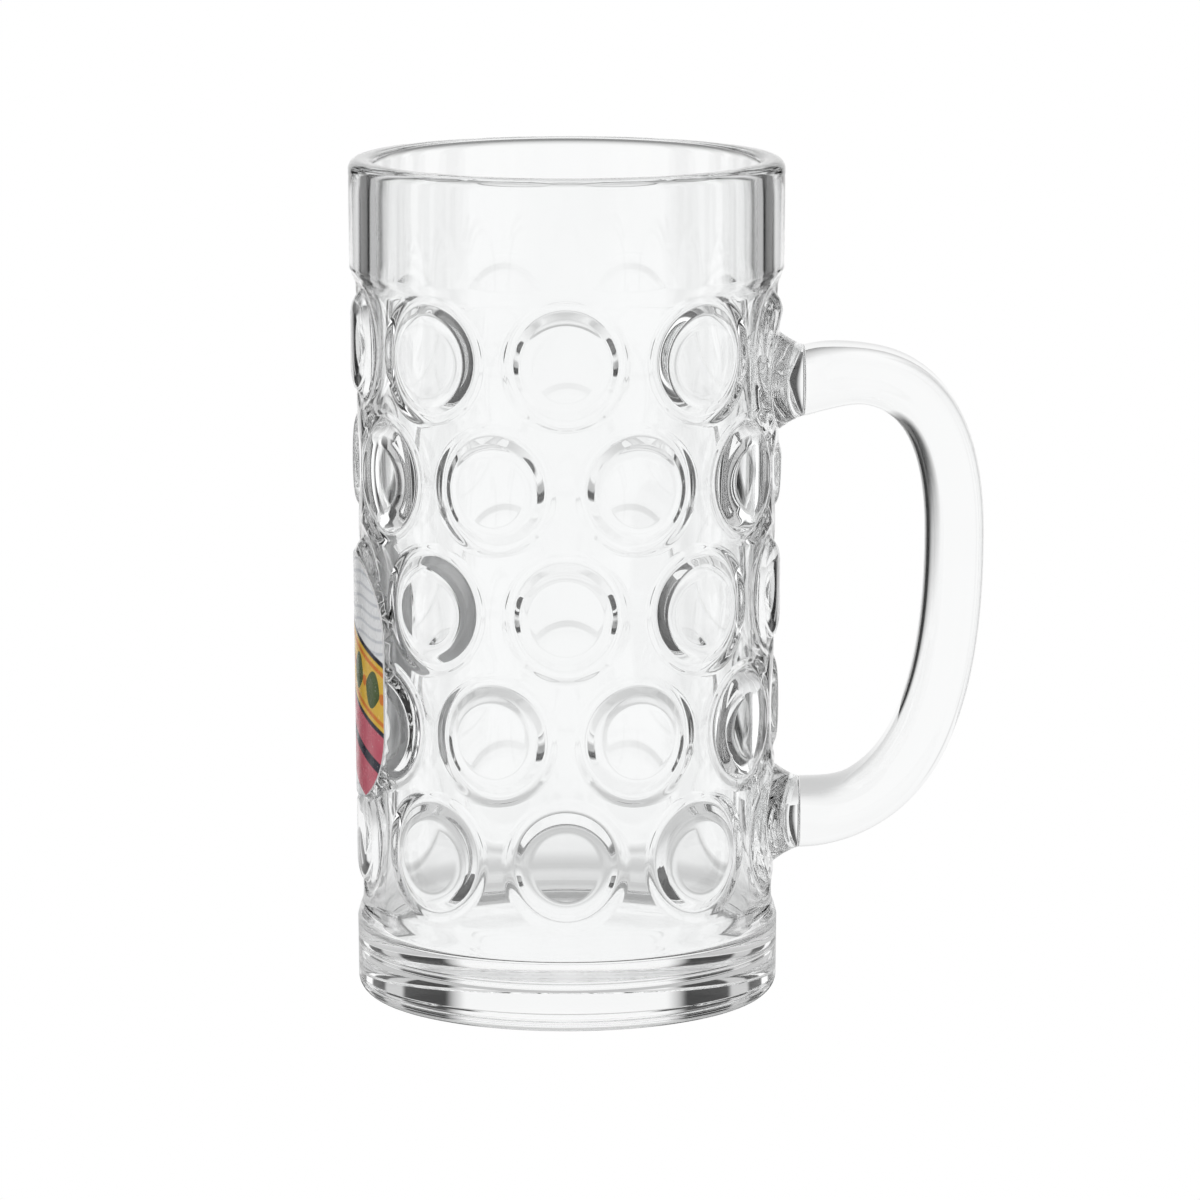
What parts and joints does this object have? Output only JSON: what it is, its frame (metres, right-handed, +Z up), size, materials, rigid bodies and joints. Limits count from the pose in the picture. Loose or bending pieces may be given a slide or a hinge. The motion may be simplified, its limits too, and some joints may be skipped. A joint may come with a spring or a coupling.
{
  "type": "beer mug",
  "caption": "Tall clear plastic beer mug with rows of round lens bosses, a thick rounded foot, a side handle and a printed film badge.",
  "frame": {"origin": "middle of the flat underside, on the barrel's axis", "axes": "+Z up along the barrel's axis, +X towards the handle, the badge faces -X"},
  "size_m": [0.1503, 0.103, 0.2],
  "materials": {
    "barrel_plastic": "clear moulded plastic, polished",
    "base_plastic": "clear moulded plastic, polished",
    "handle_plastic": "clear moulded plastic, polished",
    "badge_film": "printed film, satin"
  },
  "bodies": {
    "root": {"barrel": "barrel_plastic", "base": "base_plastic", "handle": "handle_plastic", "badge": "badge_film"}
  },
  "joints": []
}
